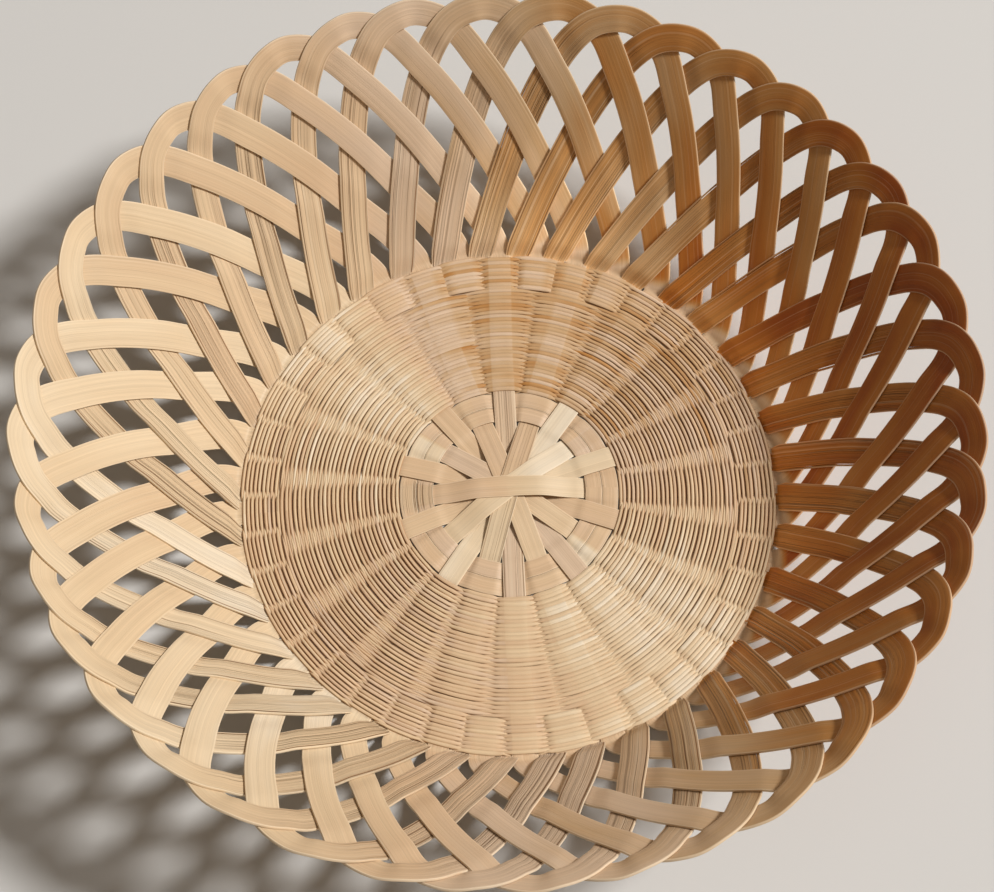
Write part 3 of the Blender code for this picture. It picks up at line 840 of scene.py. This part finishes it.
def makeBinder(k):
    inner, outer = binder["rings"][k]
    rowCount = spokes * binder["steps"] + 1
    angles = wall["firstAngle"] + np.linspace(0, math.tau, rowCount)
    columns = np.broadcast_to(np.linspace(-1, 1, 7), (rowCount, 7))
    radius = (inner + outer) / 2 + columns * (outer - inner) / 2
    steps = (angles[:, None] - wall["firstAngle"]) / (math.tau / spokes)
    nearest = np.round(steps)
    away = np.abs(steps - nearest) * math.tau / spokes * radius
    half = widthAt(radius) / 2 + 0.0002
    free = math.pi / spokes * radius - half
    lift = np.sin(np.clip((math.pi / spokes * radius - away) / free, 0, 1) * math.pi / 2)
    side = np.where(nearest % 2 == 0, 1.0, -1.0)
    height = base["fieldLevel"] + side * lift * base["binderShift"]
    points = np.stack([radius * np.cos(angles)[:, None], radius * np.sin(angles)[:, None], height], axis=-1)
    points[-1] = points[0]
    marks = np.ones((rowCount, 7, 4))
    patches = binder["tones"][k] + wander(rowCount, 0.2, 0.012, 0.05)
    for azimuth, reach, tone in binder["paleParts"]:
        apart = np.abs((np.degrees(angles) - azimuth + 180) % 360 - 180)
        patches = patches + (tone - patches) * smooth((reach - apart) / 2.0)
    patches[-1] = patches[0]
    marks[..., 0] = np.clip(patches, 0.02, 0.98)[:, None]
    marks[..., 1] = np.interp(np.abs((np.degrees(angles) - 183 + 180) % 360 - 180), [7, 10], [1.4, 0.22])[:, None]
    marks[..., 2] = np.abs(columns)
    lengths = (angles - angles[0]) * (inner + outer) / 2
    item, full = gridObject(binder["names"][k] + "_strip", points, None, np.full(rowCount, binder["thickness"]),
                            marks, lengths + 3.1 * k, columns * (outer - inner) / 2)
    finishStrip(item, full, splintMaterial)
    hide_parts(binder["names"][k])


for k in range(2):
    makeBinder(k)
print("hub binding made")


# ---- fine strands of the base, one ring a row, over and under the splints

weave = {
    "fieldRows": 56,
    "fieldFrom": 0.0374,
    "fieldTo": 0.0764,
    "bandRows": 18,
    "bandFrom": 0.0772,
    "bandTo": 0.0890,
    "heightOver": 0.00068,
    "heightCrossing": 0.00078,
    "widthOver": 0.00112,
    "widthCrossing": 0.00088,
    "calmWidth": 0.00058,
    "plateRise": 0.00010,       # a strand lies higher on the splint than beside it
    # where the strands lie close and flat, by azimuth in degrees
    "calm": [(0, 0.0), (40, 0.10), (60, 0.70), (75, 1.0), (110, 1.0), (128, 0.78), (150, 0.30), (165, 0.0),
             (225, 0.0), (245, 0.45), (262, 0.95), (290, 1.0), (308, 0.8), (325, 0.35), (340, 0.0), (360, 0.0)],
    "plateTone": -0.08,
    "amplitude": 0.00055,
    "sides": 8,
    "squareness": 0.90,
    "calmSquareness": 0.34,
    "liftCurve": 2.1,
    "calmLiftCurve": 0.75,
    "lastRise": 0.00085,        # the outermost rows climb over the feet
    "rowJitter": 0.00006,
    # colour of the strands by azimuth in degrees
    "tones": [(0, 0.38), (30, 0.66), (60, 0.74), (90, 0.80), (112, 0.70), (135, 0.10), (160, 0.20), (190, 0.32),
              (220, 0.41), (245, 0.42), (270, 0.40), (300, 0.16), (325, 0.06), (345, 0.26), (360, 0.38)],
    "rowTone": 0.09,
}


def strandRing(radius, row, count, segments, footShare):
    deselectAll()
    thin = 0.0003
    bpy.ops.mesh.primitive_torus_add(major_radius=radius, minor_radius=thin, major_segments=segments,
                                     minor_segments=weave["sides"], generate_uvs=True)
    ring = bpy.context.object
    mesh = ring.data
    total = len(mesh.vertices)
    co = np.empty(total * 3, dtype=np.float32)
    mesh.vertices.foreach_get("co", co)
    co = co.reshape(-1, 3).astype(float)
    angle = np.arctan2(co[:, 1], co[:, 0])
    across = (np.hypot(co[:, 0], co[:, 1]) - radius) / thin
    upward = co[:, 2] / thin
    azimuths, amounts = zip(*weave["calm"])
    calm = np.interp(np.degrees(angle) % 360, azimuths, amounts)
    square = weave["squareness"] + (weave["calmSquareness"] - weave["squareness"]) * calm
    across = np.sign(across) * np.abs(across) ** square
    upward = np.sign(upward) * np.abs(upward) ** square

    # over one splint, under the next one, and side by side with its neighbours between them;
    # the rings have a point on each side of every splint's edge
    spacing = math.tau / count
    half = widthAt(radius) / 2
    free = spacing / 2 * radius - half
    steps = np.round(angle / math.tau * segments) * count / segments
    nearest = np.round(steps)
    pointCount = segments // count // 2
    outside = pointCount // 2 + 1
    edge, gap = half / (spacing * radius), 0.00022 / (spacing * radius)
    outer = 0.5 + (edge + gap - 0.5) * np.linspace(0, 1, outside) ** 1.15
    places = np.concatenate([outer, np.linspace(edge - gap, 0, pointCount + 1 - outside)])
    share = np.interp(0.5 - np.abs(steps - nearest), np.linspace(0, 0.5, pointCount + 1), places)
    angle = wall["firstAngle"] + (nearest + np.sign(steps - nearest) * share) * spacing
    away = share * spacing * radius
    onSplint = (share < edge).astype(float)
    curve = weave["liftCurve"] + (weave["calmLiftCurve"] - weave["liftCurve"]) * calm
    lift = np.sin(np.clip((spacing / 2 * radius - away) / free, 0, 1) * math.pi / 2) ** curve
    side = np.where((nearest.astype(int) + row) % 2 == 0, 1.0, -1.0)
    phase = rng.uniform(0, 6, 3)
    wobble = 0.00005 * np.sin(int(rng.integers(3, 8)) * angle + phase[0]) + 0.00003 * np.sin(
        int(rng.integers(9, 25)) * angle + phase[1])
    broad = weave["widthOver"] * rng.uniform(0.94, 1.03) + weave["calmWidth"] * calm * rng.uniform(0.45, 1.35)
    width = weave["widthCrossing"] + (broad - weave["widthCrossing"]) * lift
    height = weave["heightCrossing"] + (weave["heightOver"] - weave["heightCrossing"]) * lift
    level = base["fieldLevel"] + side * (lift * weave["amplitude"] + onSplint * weave["plateRise"])
    level = level + footShare * weave["lastRise"] * (1 - lift)
    newRadius = radius + rng.normal(0, weave["rowJitter"]) + wobble + across * width / 2
    newHeight = level + upward * height / 2
    points = np.stack([newRadius * np.cos(angle), newRadius * np.sin(angle), newHeight], axis=-1)
    mesh.vertices.foreach_set("co", handMade(points).reshape(-1).astype(np.float32))

    layer = mesh.uv_layers[0]
    layer.name = "grain"
    uv = np.empty(len(mesh.loops) * 2, dtype=np.float32)
    layer.data.foreach_get("uv", uv)
    uv = uv.reshape(-1, 2) * np.array([math.tau * radius, 0.0026]) + np.array([row * 0.37, 0.0])
    layer.data.foreach_set("uv", uv.reshape(-1).astype(np.float32))
    azimuths, tones = zip(*weave["tones"])
    marks = np.ones((total, 4))
    drift = rng.normal(0, weave["rowTone"]) * (1 - 0.78 * calm) + 0.05 * np.sin(int(rng.integers(2, 6)) * angle + phase[2])
    marks[:, 0] = np.clip(np.interp(np.degrees(angle) % 360, azimuths, tones) + drift
                          + weave["plateTone"] * calm * onSplint, 0.02, 0.77)
    # strength of the painted flank shade, weak in the calm sectors where the grooves run along the key lamp's light
    marks[:, 1] = 1 - 0.94 * calm
    marks[:, 2] = np.abs(upward)
    tone = mesh.attributes.new("tone", "FLOAT_COLOR", "POINT")
    tone.data.foreach_set("color", marks.reshape(-1).astype(np.float32))
    return ring


def weaveRows(name, radii, firstRow, count, segments, footShares, replaced):
    rings = [strandRing(radius, firstRow + k, count, segments, footShares[k]) for k, radius in enumerate(radii)]
    deselectAll()
    for ring in rings:
        ring.select_set(True)
    bpy.context.view_layer.objects.active = rings[0]
    bpy.ops.object.join()
    item = bpy.context.object
    item.name = item.data.name = name
    bpy.ops.object.mode_set(mode="EDIT")
    bpy.ops.mesh.select_all(action="SELECT")
    bpy.ops.mesh.normals_make_consistent(inside=False)
    bpy.ops.object.mode_set(mode="OBJECT")
    bpy.ops.object.shade_smooth()
    item.data.materials.clear()
    item.data.materials.append(strandMaterial)
    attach(item, "root")
    if replaced:
        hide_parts(replaced)
    return item


fieldRadii = np.linspace(weave["fieldFrom"], weave["fieldTo"], weave["fieldRows"])
bandRadii = np.linspace(weave["bandFrom"], weave["bandTo"], weave["bandRows"])
bandShare = smooth((bandRadii - weave["bandTo"] + 0.0022) / 0.0022)
halfRows = weave["fieldRows"] // 2
weaveRows("field_strands_inner", fieldRadii[:halfRows], 0, spokes, 240, np.zeros(halfRows), "woven_field")
weaveRows("field_strands_outer", fieldRadii[halfRows:], halfRows, spokes, 320,
          np.zeros(weave["fieldRows"] - halfRows), None)
weaveRows("band_strands", bandRadii, 0, wall["stakes"], 400, bandShare, "woven_band")
print("fine strands made")


# ---- floor, light and camera

studio = {
    "floorColour": (0.62, 0.605, 0.58),
    "keyPlace": (3.88, 0.48, 4.60),
    "keySize": 1.20,
    "keyPower": 384,
    "fillPlace": (0.1, -0.3, 1.7),
    "fillSize": 1.4,
    "fillPower": 1.5,
    "worldColour": (1.0, 0.81, 0.62),
    "worldStrength": 0.16,
    "backdropColour": (0.66, 0.64, 0.61),
    "cameraTarget": (-0.00221, 0.01890, 0.0),
    "cameraDistance": 0.8668,
    "cameraElevation": 67.3,
    "focalPixels": 2568,
    "photoWidth": 994,
}


def aimAt(item, target):
    direction = np.array(target) - np.array(item.location)
    flat = math.hypot(direction[0], direction[1])
    item.rotation_euler = (math.atan2(flat, -direction[2]), 0.0, math.atan2(-direction[0], direction[1]))


deselectAll()
bpy.ops.mesh.primitive_plane_add(size=8, location=(0, 0, -0.0002))
floor = bpy.context.object
floor.name = "floor"
floorMaterial = bpy.data.materials.new("paleFloor")
floorMaterial.use_nodes = True
floorShader = floorMaterial.node_tree.nodes["Principled BSDF"]
floorShader.inputs["Base Color"].default_value = (*studio["floorColour"], 1.0)
floorShader.inputs["Roughness"].default_value = 0.8
floor.data.materials.append(floorMaterial)

for name in ("key", "fill"):
    bpy.ops.object.light_add(type="AREA", location=studio[name + "Place"])
    lamp = bpy.context.object
    lamp.name = name + "Lamp"
    lamp.data.shape = "DISK"
    lamp.data.size = studio[name + "Size"]
    lamp.data.energy = studio[name + "Power"]
    aimAt(lamp, (0.0, 0.0, 0.02))

world = bpy.data.worlds.new("studioWorld")
bpy.context.scene.world = world
world.use_nodes = True
background = world.node_tree.nodes["Background"]
background.inputs["Color"].default_value = (*studio["worldColour"], 1.0)
background.inputs["Strength"].default_value = studio["worldStrength"]
# the camera and what is glossy see a pale backdrop, which lights nothing else
worldTree = world.node_tree
backdrop = addNode(worldTree, "ShaderNodeBackground", (0, -200))
backdrop.inputs["Color"].default_value = (*studio["backdropColour"], 1.0)
seen = addNode(worldTree, "ShaderNodeLightPath", (-200, 200))
direct = mathNode(worldTree, "MAXIMUM", seen.outputs["Is Camera Ray"], seen.outputs["Is Glossy Ray"], (0, 300))
direct = mathNode(worldTree, "MAXIMUM", direct, seen.outputs["Is Transmission Ray"], (150, 300))
either = addNode(worldTree, "ShaderNodeMixShader", (350, 0))
worldTree.links.new(direct, either.inputs[0])
worldTree.links.new(background.outputs[0], either.inputs[1])
worldTree.links.new(backdrop.outputs[0], either.inputs[2])
worldTree.links.new(either.outputs[0], worldTree.nodes["World Output"].inputs["Surface"])

elevation = math.radians(studio["cameraElevation"])
target = np.array(studio["cameraTarget"])
cameraPlace = target + studio["cameraDistance"] * np.array([0.0, -math.cos(elevation), math.sin(elevation)])
bpy.ops.object.camera_add(location=tuple(cameraPlace))
camera = bpy.context.object
camera.name = "photoCamera"
camera.data.sensor_width = 36.0
camera.data.lens = 36.0 * studio["focalPixels"] / studio["photoWidth"]
camera.data.clip_start = 0.05
camera.data.clip_end = 20
camera.rotation_euler = (math.pi / 2 - elevation, 0.0, 0.0)
bpy.context.scene.camera = camera
bpy.context.scene.view_settings.view_transform = "Standard"
print("floor, lamps and camera placed")
